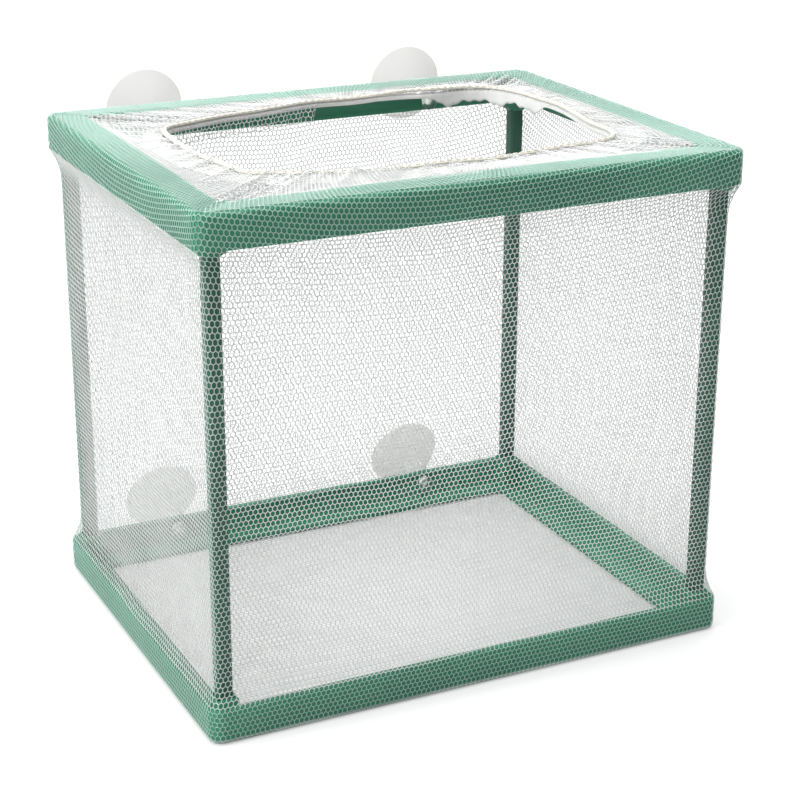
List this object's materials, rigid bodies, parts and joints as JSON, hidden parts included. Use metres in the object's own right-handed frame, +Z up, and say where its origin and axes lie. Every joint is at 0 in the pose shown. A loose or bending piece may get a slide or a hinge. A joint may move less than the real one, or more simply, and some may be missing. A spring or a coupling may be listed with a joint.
{
  "type": "fish breeding box",
  "caption": "Net bag drawn over an open green plastic frame, with a hemmed elastic mouth on top and soft suction cups behind for hanging it inside an aquarium.",
  "frame": {"origin": "on the surface that the box stands on, under the middle of its outer size with the suction cups", "axes": "+X to the right along the front, +Y from the front to the back where the suction cups are, +Z up"},
  "size_m": [0.16, 0.1436, 0.1523],
  "materials": {
    "frame_plastic": "moulded, satin gloss",
    "post_plastic": "extruded, satin gloss",
    "net": "fine white knitted nylon net",
    "hem_cloth": "cream folded and stitched edging",
    "elastic": "covered elastic cord",
    "cup_plastic": "clear soft vinyl, glossy"
  },
  "bodies": {
    "box": {"top_frame": "frame_plastic", "bottom_frame": "frame_plastic", "post_front_left": "post_plastic", "post_front_right": "post_plastic", "post_back_left": "post_plastic", "post_back_right": "post_plastic", "net_front": "net", "net_back": "net", "net_left": "net", "net_right": "net", "net_bottom": "net", "net_top": "net", "mouth_hem": "hem_cloth", "mouth_elastic": "elastic"},
    "cup_top_left": {"suction_cup_top_left": "cup_plastic"},
    "cup_top_right": {"suction_cup_top_right": "cup_plastic"},
    "cup_bottom_left": {"suction_cup_bottom_left": "cup_plastic"},
    "cup_bottom_right": {"suction_cup_bottom_right": "cup_plastic"}
  },
  "joints": [
    {"name": "cup_turn_top_left", "type": "hinge", "parent": "box", "child": "cup_top_left", "pos_m": [-0.0442, 0.05249, 0.1381], "axis": [0, 0.9903, 0.1392], "continuous": true},
    {"name": "cup_turn_top_right", "type": "hinge", "parent": "box", "child": "cup_top_right", "pos_m": [0.0442, 0.05249, 0.1381], "axis": [0, 0.9903, 0.1392], "continuous": true},
    {"name": "cup_turn_bottom_left", "type": "hinge", "parent": "box", "child": "cup_bottom_left", "pos_m": [-0.0442, 0.05249, 0.0069], "axis": [0, 0.9507, 0.3102], "continuous": true},
    {"name": "cup_turn_bottom_right", "type": "hinge", "parent": "box", "child": "cup_bottom_right", "pos_m": [0.0442, 0.05249, 0.0069], "axis": [0, 0.9507, 0.3102], "continuous": true}
  ]
}
